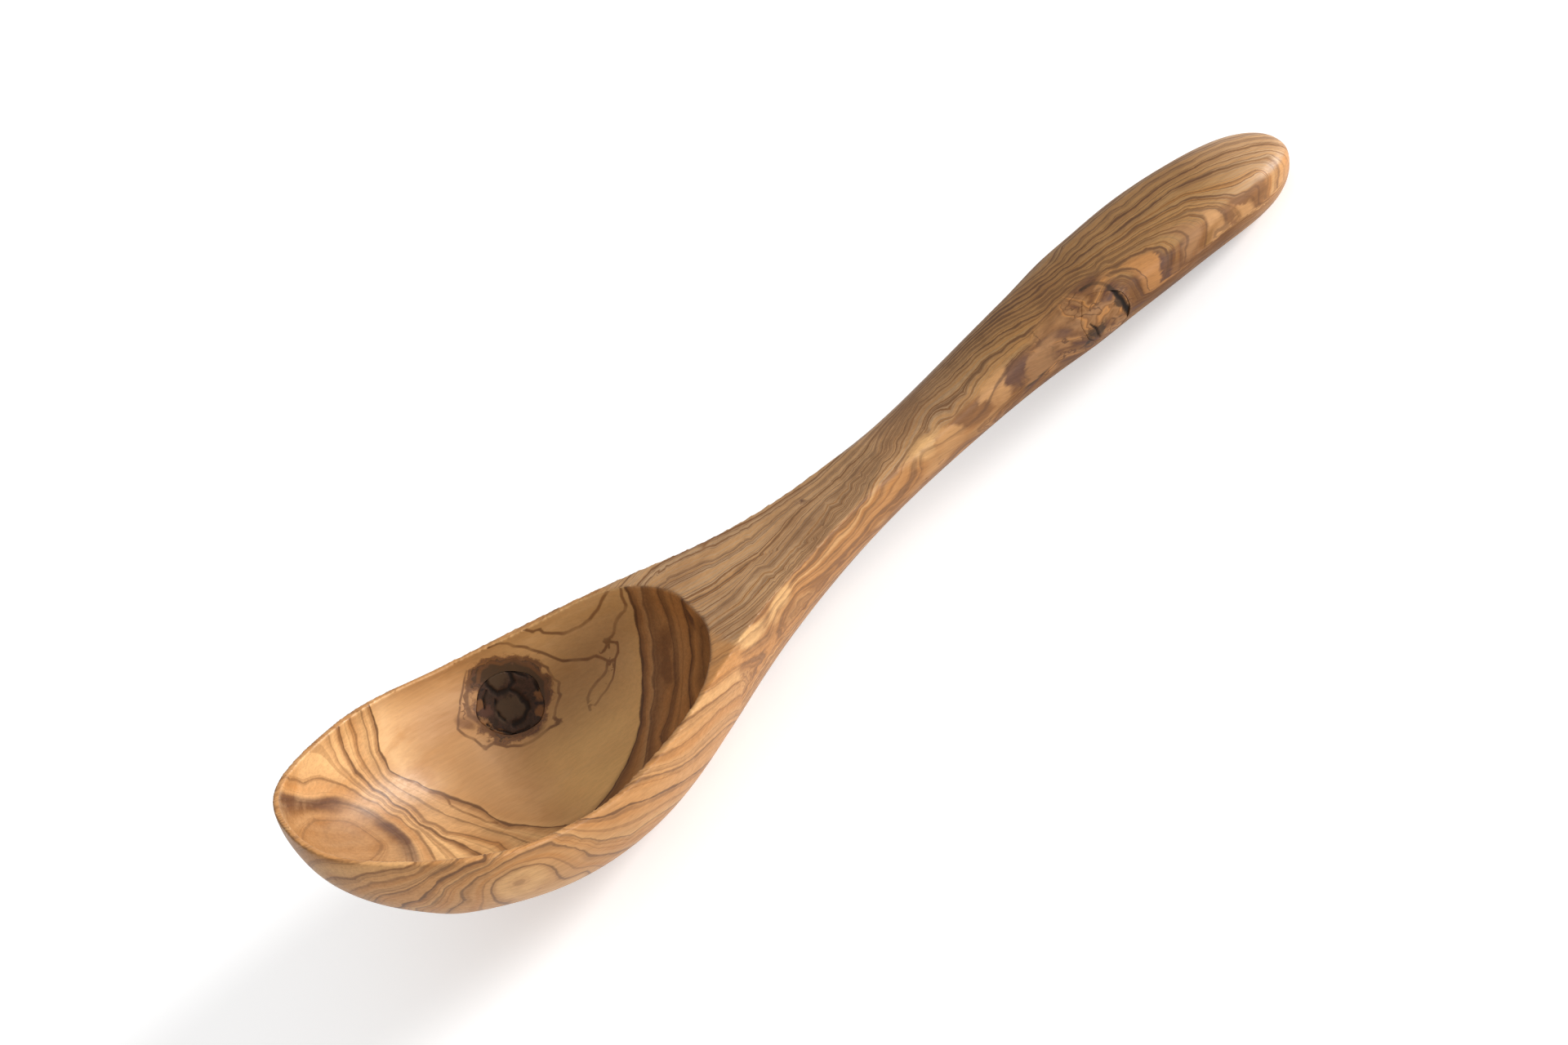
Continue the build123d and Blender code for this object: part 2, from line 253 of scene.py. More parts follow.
# Patches of other wood: a place, its radius in millimetres and the name of its colour
PATCHES = [
    ((1411, 335), 4.6, "orange"),
    ((1408, 318), 3.0, "orange"),
    ((1426, 322), 2.0, "purple"),
    ((1428, 338), 1.8, "purple"),
    ((1438, 330), 1.4, "brown"),
    ((1507, 264), 1.8, "brown"),
    ((1518, 246), 1.4, "brown"),
    ((1497, 284), 2.0, "tan"),
    ((1528, 260), 2.4, "tan"),
    ((1549, 250), 1.8, "pale"),
    ((1482, 262), 2.4, "tan"),
    ((987, 615), 1.1, "purple"),
    ((867, 669), 0.9, "brown"),
    ((1548, 232), 1.6, "brown"),
    ((1535, 268), 1.2, "brown"),
    ((1462, 292), 3.2, "honey"),
    ((1215, 476), 3.6, "tan"),
    ((1165, 529), 3.4, "tan"),
    ((1130, 545), 2.4, "pale"),
    ((1274, 438), 4.0, "honey"),
    ((1334, 418), 2.0, "core"),
    ((1376, 362), 2.2, "purple"),
    ((1389, 378), 2.0, "purple"),
    ((655, 894), 1.2, "core"),
    ((574, 888), 1.5, "brown"),
    ((1241, 455), 3.0, "purple"),
    ((1270, 465), 2.2, "core"),
    ((1262, 474), 2.0, "purple"),
    ((1180, 512), 3.2, "brown"),
    ((1205, 500), 2.6, "brown"),
    ((815, 790), 2.6, "brown"),
    ((817, 815), 2.4, "brown"),
    ((843, 750), 2.4, "purple"),
    ((838, 905), 1.8, "brown"),
    ((920, 775), 3.0, "pale"),
    ((955, 735), 2.4, "pale"),
]
KNOT_PATCHES = [
    ((1344, 405), 2.2, "core"),
    ((1372, 371), 1.3, "core"),
    ((606, 830), 2.6, "blob"),
    ((630, 866), 2.8, "blob"),
    ((618, 872), 2.2, "blob"),
    ((596, 872), 1.6, "purple"),
    ((594, 888), 2.0, "honey"),
    ((587, 864), 1.3, "brown"),
    ((610, 900), 1.4, "brown"),
    ((661, 850), 1.3, "brown"),
    ((663, 872), 1.2, "brown"),
]

# How dark each line of the growth is, by its number
HOLLOW_DARKNESS = [
    (-6, 0), (0, 0.85), (1, 0.5), (2, 0.5), (3, 0.75), (4, 0.35), (5, 0.4), (6, 0.5), (7, 0.35),
    (8, 0.5), (9, 0.0),
]
SIDE_DARKNESS = [
    (-6, 0.3), (0, 0.5), (1, 0.4), (2, 0.6), (3, 0.8), (4, 0.5), (5, 0.6), (6, 0.45), (7, 0.3),
    (8, 0.3),
]
LENGTH_DARKNESS = [
    (-6, 0.3), (1, 0.65), (2, 0.85), (3, 0.9), (4, 0.8), (5, 0.55), (6, 0.6), (7, 0.75), (8, 0.7),
    (9, 0.75), (10, 0.5), (11, 0.4),
]

# Bands of wood between the lines: the growth at each band, and the name of its colour
BANDS = (-5.0, 9.0)
TIP_BANDS = [
    (-5.0, "pale"), (-0.3, "pale"), (0.25, "tan"), (0.55, "pale"), (0.8, "tan"), (1.1, "pale"),
    (1.7, "tan"), (2.1, "orange"), (2.5, "pale"), (2.85, "tan"), (3.15, "brown"), (3.4, "tan"),
    (3.7, "pale"), (4.1, "tan"), (4.5, "pale"), (5.0, "tan"), (5.3, "orange"), (5.6, "tan"),
    (5.8, "purple"), (6.15, "purple"), (6.4, "brown"), (6.8, "tan"), (7.1, "orange"),
    (7.5, "honey"), (8.0, "orange"), (8.4, "honey"),
]
# BACK_BANDS starts with the rear floor's wood, painted lighter to lift the shadow that falls there
BACK_BANDS = [
    (-5.0, "sheltered"), (-0.2, "sheltered"), (0.1, "brown"), (0.5, "orange"), (0.9, "tan"),
    (1.2, "brown"), (1.8, "orange"), (2.1, "brown"), (2.35, "orange"), (2.8, "orange"),
    (3.05, "brown"), (3.4, "orange"), (4.0, "brown"), (4.6, "orange"), (5.2, "purple"),
    (6.5, "brown"),
]

# Tones along a share from 0 to 1: down the floor, where the pale wood near the tip also carries a
# painted highlight and the tan further on painted shade, and of wood over layers and islands of
# noise
FLOOR_TONES_AND_PAINTED_LIGHT = [(0.0, "cream"), (0.35, "bright"), (0.62, "tan"), (0.95, "tan")]
SIDE_TONES = [(0.2, "pale"), (0.4, "tan"), (0.5, "orange"), (0.6, "tan"), (0.8, "brown")]
# The grey of the top is partly the wood's own grey and partly a painted sheen
TOP_TONES = [(0.3, "grey"), (0.45, "tan"), (0.52, "grey"), (0.6, "brown"), (0.75, "tan")]
FLANK_TONES = [(0.25, "pale"), (0.42, "tan"), (0.52, "orange"), (0.62, "brown"), (0.8, "tan")]
BURL_TONES = [
    (0.3, "purple"), (0.4, "brown"), (0.45, "honey"), (0.49, "orange"), (0.52, "brown"),
    (0.55, "honey"), (0.6, "brown"), (0.66, "purple"),
]

# Rings of bark and stained wood round the knot in the bowl, by their distance in millimetres
RINGS = (-2.0, 8.0)
RING_TONES = [
    (-2.0, "core"), (0.5, "core"), (0.8, "purple"), (1.2, "core"), (1.6, "brown"), (1.9, "purple"),
    (2.3, "brown"), (2.8, "tan"), (3.4, "brown"), (4.2, "tan"),
]

# The handle's wood is darker and browner than the neck's, more so on its side
HANDLE_SIDE_TINT = (0.46, 0.37, 0.22, 1)
HANDLE_TOP_TINT = (0.7, 0.63, 0.46, 1)

# The suns: name, strength, angle across in degrees, and the way from the spoon to each
SUNS = [("key", 3.7, 18, (1, -0.22, 0.27)), ("low_card", 1.5, 16, (0.35, -1, 0.12))]
WORLD_STRENGTH = 0.56

# The floor: what it gives the camera beyond its white, half its size, and how far it lies under
FLOOR_GLOW = 0.36
FLOOR_HALF = 6.0
FLOOR_DROP = 0.05 * MM

# The tapered plugs of dead wood: where each one starts in the carving, the way it points, and its
# radius there, its radius at its far end and its length, in millimetres
BOWL_PLUG = (Vector((71, 14.21, -4.4)), Vector((0, 0.819, -0.574)), 8, 9, 30)
HANDLE_PLUG = (Vector((234, -5.4, 38.5)), Vector((0, -1, 0)), 6.5, 8, 14)

# The rings of bark are centred on the second of these places, not on the first
RING_PLACES = [(626, 862), (621, 855)]

# The wavy outline of each plug, in millimetres where they are lengths
BARK_POINTS = 72
BARK_WAVER = 0.9
BARK_WAVES = 1.7
BARK_MARGIN = 0.3

# How close points are made one, the sharpest edge in degrees that is still shaded smooth, and the
# fewest faces of a shell that is more than a sliver
MERGED = 0.002 * MM
SLIVER_MERGED = 0.001 * MM
SHARP_EDGE = 50
FEWEST_FACES = 100


def camera_axes():
    """Right, up and backwards of the photograph's camera."""
    azimuth, elevation = math.radians(CAMERA_AZIMUTH), math.radians(CAMERA_ELEVATION)
    roll = math.radians(CAMERA_ROLL)
    flat = math.cos(elevation)
    back = Vector((math.sin(azimuth) * flat, -math.cos(azimuth) * flat, math.sin(elevation)))
    level = Vector((math.cos(azimuth), math.sin(azimuth), 0))
    right = level * math.cos(roll) + back.cross(level) * math.sin(roll)
    return right, back.cross(right), back


CAMERA_RIGHT, CAMERA_UP, CAMERA_BACK = camera_axes()
EYE = AIM + CAMERA_BACK * CAMERA_DISTANCE
FOCAL = LENS / SENSOR * PHOTO_WIDTH


def sight(place):
    """The direction from the camera through a place on the photograph."""
    column, row = place
    across, down = (column - AIM_COLUMN) / FOCAL, (row - AIM_ROW) / FOCAL
    return (CAMERA_RIGHT * across - CAMERA_UP * down - CAMERA_BACK).normalized()


def cad_surface():
    """The carved surface of all the nodes, which the places are sent out to."""
    verts, faces = [], []
    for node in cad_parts.values():
        start = len(verts)
        verts += [v.co.copy() for v in node.data.vertices]
        faces += [[start + i for i in polygon.vertices] for polygon in node.data.polygons]
    return BVHTree.FromPolygons(verts, faces)


def landed(surface, places, spacing=0.5):
    """Points in millimetres where a line of places lands on the wood, closely spaced."""
    hits = [surface.ray_cast(EYE, sight(place))[0] for place in places]
    hits = [np.array(hit) / MM for hit in hits if hit is not None]
    points = hits[:1]
    for start, end in zip(hits, hits[1:]):
        steps = max(1, int(np.linalg.norm(end - start) / spacing))
        points += [start + (end - start) * k / steps for k in range(1, steps + 1)]
    return np.array(points)


def turned_back(vectors):
    """The three parts of vectors of the resting spoon, turned back to how it was carved."""
    tilt = math.radians(REST_TILT)
    x, y, z = vectors.T
    return x * math.cos(tilt) - z * math.sin(tilt), y, x * math.sin(tilt) + z * math.cos(tilt)


def smooth_step(low, high, value):
    share = np.clip((value - low) / (high - low), 0, 1)
    return share * share * (3 - 2 * share)


def growth_field(surface, lines, points, normals, slack=0.6):
    """A smooth value over all the points that follows the picked lines, and its change per mm."""
    places, values = [], []
    for value, line in lines:
        line_points = landed(surface, line, spacing=5.0)
        places.append(line_points)
        values += [value] * len(line_points)
    places, values = np.vstack(places), np.array(values)
    reach = np.linalg.norm(places[:, None] - places[None], axis=2)
    trend = np.hstack([np.ones((len(places), 1)), places])
    count = len(places)
    system = np.zeros((count + 4, count + 4))
    system[:count, :count] = reach - np.eye(count) * slack
    system[:count, count:] = trend
    system[count:, :count] = trend.T
    weights = np.linalg.lstsq(system, np.concatenate([values, np.zeros(4)]), rcond=None)[0]
    field = weights[count] + points @ weights[count + 1:]
    slope = np.zeros_like(points) + weights[count + 1:]
    for place, weight in zip(places, weights[:count]):
        apart = points - place
        distance = np.linalg.norm(apart, axis=1)
        field += weight * distance
        slope += weight * apart / np.maximum(distance, 0.5)[:, None]
    slope -= normals * np.sum(slope * normals, axis=1)[:, None]
    return field, np.clip(np.linalg.norm(slope, axis=1), 0.04, 2.0)


def near_lines(surface, lines, points, normals, wander=0.35, farthest=9.0):
    """How many widths each point lies from the nearest of the veins, and how many to one side."""
    samples, ways, widths = [], [], []
    for width, line in lines:
        line_points = landed(surface, line)
        samples.append(line_points)
        ways.append(np.gradient(line_points, axis=0))
        widths += [width] * len(line_points)
    samples, ways = np.vstack(samples), np.vstack(ways)
    tree = KDTree(len(samples))
    for index, sample in enumerate(samples):
        tree.insert(sample, index)
    tree.balance()
    noise.seed_set(WANDER_SEED)
    found, beside = np.full(len(points), farthest), np.full(len(points), farthest)
    for index, point in enumerate(points):
        shaken = Vector(point) + noise.noise_vector(Vector(point) / WANDER_WAVE) * wander
        _, nearest, gap = tree.find(shaken)
        if gap < farthest * widths[nearest]:
            across = Vector(normals[index]).cross(Vector(ways[nearest])).normalized()
            found[index] = gap / widths[nearest]
            beside[index] = across.dot(shaken - Vector(samples[nearest])) / widths[nearest]
    return found, beside


def mesh_of(work, name):
    """A new mesh from what was worked."""
    mesh = bpy.data.meshes.new(name)
    work.to_mesh(mesh)
    work.free()
    return mesh


def placed(name, data):
    """A new object in the scene."""
    item = bpy.data.objects.new(name, data)
    bpy.context.scene.collection.objects.link(item)
    return item


def give(mesh, name, values):
    attribute = mesh.attributes.new(name, "FLOAT", "POINT")
    attribute.data.foreach_set("value", np.asarray(values, dtype=np.float32))


def points_of(mesh):
    """The mesh's points and normals, the points in millimetres."""
    points = np.zeros(len(mesh.vertices) * 3)
    normals = np.zeros(len(mesh.vertices) * 3)
    mesh.vertices.foreach_get("co", points)
    mesh.vertices.foreach_get("normal", normals)
    return points.reshape(-1, 3) / MM, normals.reshape(-1, 3)


def wood_colour(settings, name):
    return tuple(getattr(settings, name)) + (1,)


class Finish:
    """A material under construction, with short ways to add its nodes."""

    def __init__(self, name, settings):
        self.settings = settings
        self.material = bpy.data.materials.new(name)
        self.material.use_nodes = True
        self.tree = self.material.node_tree
        self.shader = self.tree.nodes["Principled BSDF"]

    def colour(self, given):
        """A wood's colour by its name, or any other value as it is."""
        return wood_colour(self.settings, given) if isinstance(given, str) else given

    def feed(self, socket, given):
        if isinstance(given, bpy.types.NodeSocket):
            self.tree.links.new(given, socket)
        else:
            socket.default_value = self.colour(given)

    def add(self, kind, inputs=(), **properties):
        """A new node, with its properties set and its inputs fed by their names or numbers."""
        node = self.tree.nodes.new("ShaderNode" + kind)
        for name, value in properties.items():
            setattr(node, name, value)
        for name, value in dict(inputs).items():
            self.feed(node.inputs[name], value)
        return node

    def dress(self, inputs):
        """Feed the shader's own inputs, by their names."""
        for name, value in inputs.items():
            self.feed(self.shader.inputs[name], value)

    def reckon(self, operation, *values):
        return self.add("Math", enumerate(values), operation=operation).outputs[0]

    def times(self, first, second):
        return self.reckon("MULTIPLY", first, second)

    def times_plus(self, first, second, added):
        return self.reckon("MULTIPLY_ADD", first, second, added)

    def step(self, value, low, high, low_out=0.0, high_out=1.0, kind="SMOOTHSTEP"):
        """The value's share of the way from low to high, between the two that come out."""
        values = enumerate((value, low, high, low_out, high_out))
        return self.add("MapRange", values, interpolation_type=kind).outputs[0]

    def held(self, name, output="Fac"):
        return self.add("Attribute", attribute_name=name).outputs[output]

    def blend(self, amount, first, second, mode="MIX"):
        inputs = {"Factor": amount, 6: first, 7: second}
        return self.add("Mix", inputs, data_type="RGBA", blend_type=mode).outputs[2]

    def lay(self, over, colour, value, low, high, most=1.0):
        """A colour with another laid over it where a value passes from low to high."""
        return self.blend(self.step(value, low, high, 0.0, most), colour, over)

    def apart(self, first, second):
        return self.reckon("ABSOLUTE", self.reckon("SUBTRACT", first, second))

    def ramp(self, value, stops, low=0.0, high=1.0, interpolation="LINEAR"):
        """Colours along a value, each stop a place between low and high and its colour."""
        node = self.add("ValToRGB", {"Fac": self.step(value, low, high, kind="LINEAR")})
        node.color_ramp.interpolation = interpolation
        elements = node.color_ramp.elements
        while len(elements) < len(stops):
            elements.new(0.5)
        for element, (position, colour) in zip(elements, stops):
            element.position = min(1.0, max(0.0, (position - low) / (high - low)))
            element.color = self.colour(colour)
        return node.outputs["Color"]


class Wood(Finish):
    """A finish whose patterns lie along the carving, as it was before it was set on the table."""

    def __init__(self, name, settings):
        super().__init__(name, settings)
        resting = self.add("TexCoord").outputs["Object"]
        turn = {"Vector": resting, "Angle": math.radians(-REST_TILT)}
        self.place = self.add("VectorRotate", turn, rotation_type="Y_AXIS").outputs["Vector"]

    def cloud(self, scale, detail=2.0, roughness=0.5, distortion=0.0):
        """Noise from 0 to 1, with its own scale along, across and up."""
        place = self.add("Mapping", {"Vector": self.place, "Scale": scale}).outputs[0]
        inputs = {
            "Vector": place, "Scale": 1.0, "Detail": detail, "Roughness": roughness,
            "Distortion": distortion,
        }
        return self.add("TexNoise", inputs).outputs["Fac"]

    def signed(self, scale, detail=2.0, roughness=0.5):
        """Noise from about -1 to 1."""
        return self.times_plus(self.cloud(scale, detail, roughness), 4.0, -2.0)

    def layers(self, value, scale, detail=2.0, roughness=0.5):
        """Noise from 0 to 1 that changes only with a value, such as the growth."""
        inputs = {"W": value, "Scale": scale, "Detail": detail, "Roughness": roughness}
        return self.add("TexNoise", inputs, noise_dimensions="1D").outputs["Fac"]

    def burl(self):
        """Mottled wood round the handle's knot: islands of honey wood with dark shores."""
        islands = self.cloud((70, 125, 125), detail=3.0, roughness=0.5, distortion=0.9)
        shores = self.cloud((85, 150, 150), detail=3.0, roughness=0.6, distortion=0.6)
        shore = self.step(self.apart(shores, 0.5), 0.004, 0.022, 0.8, 0.0)
        return self.blend(shore, self.ramp(islands, BURL_TONES), "dark")

    def oil(self, colour, roughness, grain, strength, gloss):
        """The satin of sanded and oiled wood on the shader: colour, gloss and a slight bump."""
        inputs = {"Strength": strength, "Distance": 0.1 * MM, "Height": grain}
        bump = self.add("Bump", inputs).outputs["Normal"]
        self.dress({
            "Base Color": colour, "Roughness": roughness, "Normal": bump, "IOR": 1.45,
            "Specular IOR Level": gloss,
        })


class OliveWood(Wood):
    """The body's wood: pale floor, banded tip, swirling sides and a straight-grained top."""

    def __init__(self, settings):
        super().__init__("olive_wood", settings)
        broad = self.signed((45, 110, 110))
        self.fine = self.signed((260, 420, 420), detail=3.0, roughness=0.6)
        self.shake = self.times_plus(self.fine, 0.22, self.times(broad, 0.35))
        self.uneven = self.step(self.cloud((110, 150, 150)), 0.3, 0.75, 0.45, 1.5)
        self.cloudy = self.cloud((40, 75, 75), detail=3.0)
        share = self.times_plus(broad, 0.1, self.held("patch_share"))
        self.patched = self.step(self.times_plus(self.fine, 0.1, share), 0.2, 0.75, 0.0, 0.9)
        self.patch = self.held("patch", "Color")

        inside, calm_floor = self.hollow()
        edge = self.times_plus(self.fine, 0.08, self.held("along"))
        outside = self.blend(self.step(edge, 0.4, 0.6), self.side(), self.length())
        colour = self.blend(self.held("in_hollow"), outside, inside)
        self.fibres(self.veined(self.ringed(colour)), calm_floor)

    def growth_lines(self, name, shake, darkness, width):
        """The growth with its lines shaken, how dark it is on its lines, and beside them."""
        rate = self.held("rate_" + name)
        growth = self.times_plus(shake, rate, self.held("growth_" + name))
        beside = self.reckon("FRACT", self.reckon("ADD", growth, 20.5))
        beside = self.reckon("DIVIDE", self.reckon("SUBTRACT", beside, 0.5), rate)
        beside = self.reckon("DIVIDE", beside, self.times(self.uneven, width))
        stops = [(level - 0.5, (dark, dark, dark, 1)) for level, dark in darkness]
        strength = self.ramp(growth, stops, -6.0, 14.0, interpolation="CONSTANT")
        line = self.step(self.reckon("ABSOLUTE", beside), 0.25, 1.0, 1.0, 0.0)
        halo = self.step(self.apart(beside, 1.2), 0.0, 2.6, 0.6, 0.0)
        return growth, self.times(line, strength), self.times(halo, strength)

    def hollow(self):
        """The pale floor with the bands before and behind it, and how calm its fibres are."""
        growth, lines, halo = self.growth_lines(
            "hollow", self.times(self.shake, 0.6), HOLLOW_DARKNESS, 0.55
        )
        behind, down_floor = self.held("behind"), self.held("down_floor")
        # Down the floor: pale cream with a painted highlight near the tip, then tan with painted
        # shade further on
        floor = self.ramp(down_floor, FLOOR_TONES_AND_PAINTED_LIGHT)
        on_floor = self.step(growth, -0.4, 0.05, 0.95, 0.0)
        colour = self.blend(on_floor, self.ramp(growth, TIP_BANDS, *BANDS), floor)
        colour = self.blend(behind, colour, self.ramp(growth, BACK_BANDS, *BANDS))
        # Painted shade: the far wall of the hollow darkened towards honey
        colour = self.blend(self.times(self.held("far_wall"), 0.65), colour, "honey")
        cloud_share = self.step(behind, 0.0, 1.0, 0.65, 0.15)
        colour = self.lay("tan", colour, self.cloudy, 0.42, 0.6, cloud_share)
        drifts = self.cloud((22, 50, 50), detail=4.0, roughness=0.6, distortion=0.8)
        pale_drifts = self.times(
            self.step(drifts, 0.46, 0.6, 0.0, 0.85), self.step(growth, -0.9, -0.2, 1.0, 0.3)
        )
        # Fewer pale drifts further down the floor: painted shade
        pale_drifts = self.times(pale_drifts, self.step(down_floor, 0.3, 0.9, 1.0, 0.2))
        colour = self.blend(pale_drifts, colour, "bright")
        thin = self.layers(growth, 3.1, detail=3.0, roughness=0.65)
        faint = self.times(self.step(thin, 0.56, 0.64, 0.0, 0.35), self.step(growth, -0.1, 0.3))
        colour = self.blend(faint, colour, "brown")
        colour = self.lay("brown", colour, growth, 6.2, 7.0, 0.35)
        colour = self.blend(self.patched, colour, self.patch)
        colour = self.blend(lines, self.blend(halo, colour, "brown"), "dark")
        calm_floor = self.step(growth, 0.5, -0.3, 0.0, 0.5)
        return colour, self.times(self.held("in_hollow"), calm_floor)

    def side(self):
        """The swirls of the bowl's outer sides."""
        growth, lines, halo = self.growth_lines("side", self.shake, SIDE_DARKNESS, 0.5)
        colour = self.ramp(self.layers(growth, 0.9), SIDE_TONES)
        colour = self.lay("tan", colour, self.cloudy, 0.4, 0.7, 0.5)
        thin = self.layers(growth, 4.3, detail=3.0, roughness=0.65)
        colour = self.lay("brown", colour, thin, 0.55, 0.64, 0.45)
        return self.blend(lines, self.blend(halo, colour, "brown"), "dark")

    def length(self):
        """The long grain of the neck and the handle, with the burl round the handle's knot."""
        growth, lines, halo = self.growth_lines("length", self.shake, LENGTH_DARKNESS, 0.55)
        on_top, handle, burl = self.held("on_top"), self.held("handle"), self.held("burl")
        thin = self.layers(growth, 3.7, detail=4.0, roughness=0.65)
        flank = self.ramp(self.layers(growth, 1.1), FLANK_TONES)
        flank = self.lay("brown", flank, thin, 0.52, 0.62, 0.6)
        colour = self.blend(on_top, flank, self.ramp(thin, TOP_TONES))
        colour = self.lay("brown", colour, self.cloudy, 0.45, 0.7, 0.45)
        tint = self.blend(on_top, HANDLE_SIDE_TINT, HANDLE_TOP_TINT)
        colour = self.blend(handle, colour, self.blend(1.0, colour, tint, "MULTIPLY"))
        colour = self.blend(burl, colour, self.burl())
        colour = self.blend(self.patched, colour, self.patch)
        colour = self.blend(self.times(halo, 0.7), colour, "brown")
        lines = self.times(lines, self.step(handle, 0.0, 1.0, 0.5, 1.0))
        lines = self.times(lines, self.step(burl, 0.0, 1.0, 1.0, 0.3))
        return self.blend(lines, colour, "dark")

    def ringed(self, colour):
        """A colour with the ragged rings round the bowl's knot laid over it."""
        jags = self.signed((380, 380, 380), detail=3.0, roughness=0.6)
        bulges = self.signed((95, 95, 95), detail=1.0)
        ring = self.times_plus(bulges, 1.7, self.held("knot_gap"))
        ring = self.times_plus(jags, 1.15, ring)
        share = self.times(self.step(ring, 1.6, 3.6, 0.92, 0.0), self.held("by_bowl_knot"))
        return self.blend(share, colour, self.ramp(ring, RING_TONES, *RINGS))

    def veined(self, colour):
        """A colour with the wandering veins laid over it."""
        veins = self.step(self.reckon("ABSOLUTE", self.held("beside_vein")), 0.16, 0.62, 0.85, 0.0)
        veins = self.times(veins, self.step(self.held("veins"), 0.8, 1.3, 1.0, 0.0))
        veins = self.times(veins, self.step(self.uneven, 0.45, 1.0, 0.55, 1.0))
        vein = self.blend(self.times(self.held("by_bowl_knot"), 0.5), "brown", "dark")
        return self.blend(veins, colour, self.blend(self.held("burl"), vein, "core"))

    def fibres(self, colour, calm_floor):
        """Fine fibres and pores over a colour, and the oiled finish with them."""
        fibre = self.cloud((110, 1500, 1500), detail=3.0, roughness=0.65)
        pores = self.step(self.cloud((260, 3600, 3600), detail=1.0), 0.62, 0.72, 0.0, -0.12)
        streak = self.reckon("ADD", self.step(fibre, 0.3, 0.7, 0.88, 1.07), pores)
        streak = self.times_plus(self.reckon("SUBTRACT", 1.0, streak), calm_floor, streak)
        shade = self.add("CombineColor", dict.fromkeys(range(3), streak)).outputs[0]
        rough = self.step(fibre, 0.2, 0.8, 0.5, 0.36)
        self.oil(
            self.blend(1.0, colour, shade, "MULTIPLY"),
            self.times_plus(self.held("handle"), 0.12, rough), fibre, strength=0.25, gloss=0.36,
        )


class KnotWood(Wood):
    """The dead wood of the two knots: black in the cracks, brown and smooth between them."""

    def __init__(self, settings):
        super().__init__("knot_wood", settings)
        grain = self.cloud((420, 420, 420), detail=4.0, roughness=0.65)
        colour = self.lay("purple", "core", grain, 0.4, 0.62, 0.5)
        colour = self.lay("black", colour, grain, 0.52, 0.62, 0.9)
        colour = self.blend(self.held("burl"), colour, self.burl())
        ragged = self.reckon("SUBTRACT", grain, 0.5)
        share = self.times_plus(ragged, 1.2, self.held("patch_share"))
        colour = self.lay(self.held("patch", "Color"), colour, share, 0.3, 0.65, 0.85)
        cracks = self.held("cracks")
        colour = self.blend(self.step(cracks, 0.2, 0.9, 1.0, 0.0), colour, "black")
        self.oil(colour, self.step(cracks, 0.3, 1.2, 0.85, 0.48), grain, strength=0.2, gloss=0.25)


def size_setting(name, description, default):
    return bpy.props.FloatProperty(
        name=name, description=description, default=default, unit="LENGTH"
    )


def colour_setting(name, description, default):
    return bpy.props.FloatVectorProperty(
        name=name, description=description, default=default, subtype="COLOR"
    )


class SPOON_PG_sizes(bpy.types.PropertyGroup):
    """Sizes and colours that a user would change."""

    skin_mesh: size_setting("Skin mesh", "Spacing of the mesh over the body", 0.00045)
    skin_faces: bpy.props.IntProperty(
        name="Skin faces", description="Triangles kept over the body", default=185000, min=20000
    )
    knot_mesh: size_setting("Knot mesh", "Spacing of the mesh over the knots", 0.0003)
    edge_easing: bpy.props.IntProperty(
        name="Edge easing", description="How far the sanded edges are rounded", default=5, min=0,
        max=20,
    )
    crack_depth: size_setting("Crack depth", "Depth of the cracks in the knots", 0.0003)
    # Cream is the floor's pale wood with a painted highlight near the tip
    cream: colour_setting("Cream", "Sapwood of the floor near the tip", (0.74, 0.51, 0.3))
    bright: colour_setting("Bright", "Palest drifts of the floor", (0.7, 0.44, 0.22))
    # Painted light: the floor below the neck is lifted to this to offset the shadow that falls there
    sheltered: colour_setting("Sheltered", "Sapwood of the floor below the neck", (0.8, 0.48, 0.18))
    pale: colour_setting("Pale", "Pale bands", (0.62, 0.355, 0.145))
    tan: colour_setting("Tan", "Wood between the lines", (0.47, 0.24, 0.09))
    orange: colour_setting("Orange", "Warm bands", (0.42, 0.185, 0.055))
    # Grey is partly the top's greyish wood and partly a painted sheen, not weathering
    grey: colour_setting("Grey", "Weathered wood of the top", (0.45, 0.285, 0.155))
    honey: colour_setting("Honey", "Mottled wood beside the handle's knot", (0.3, 0.145, 0.055))
    brown: colour_setting("Brown", "Softer bands and veins", (0.2, 0.085, 0.028))
    purple: colour_setting("Purple", "Heartwood round the knots", (0.1, 0.042, 0.024))
    dark: colour_setting("Dark", "Fine dark lines", (0.1, 0.041, 0.016))
    core: colour_setting("Core", "Dead wood of the knots", (0.035, 0.018, 0.009))
    blob: colour_setting("Blobs", "Smooth grey-brown blobs in the knots", (0.075, 0.044, 0.022))
    black: colour_setting("Black", "Cracks of the dead knots", (0.016, 0.01, 0.007))


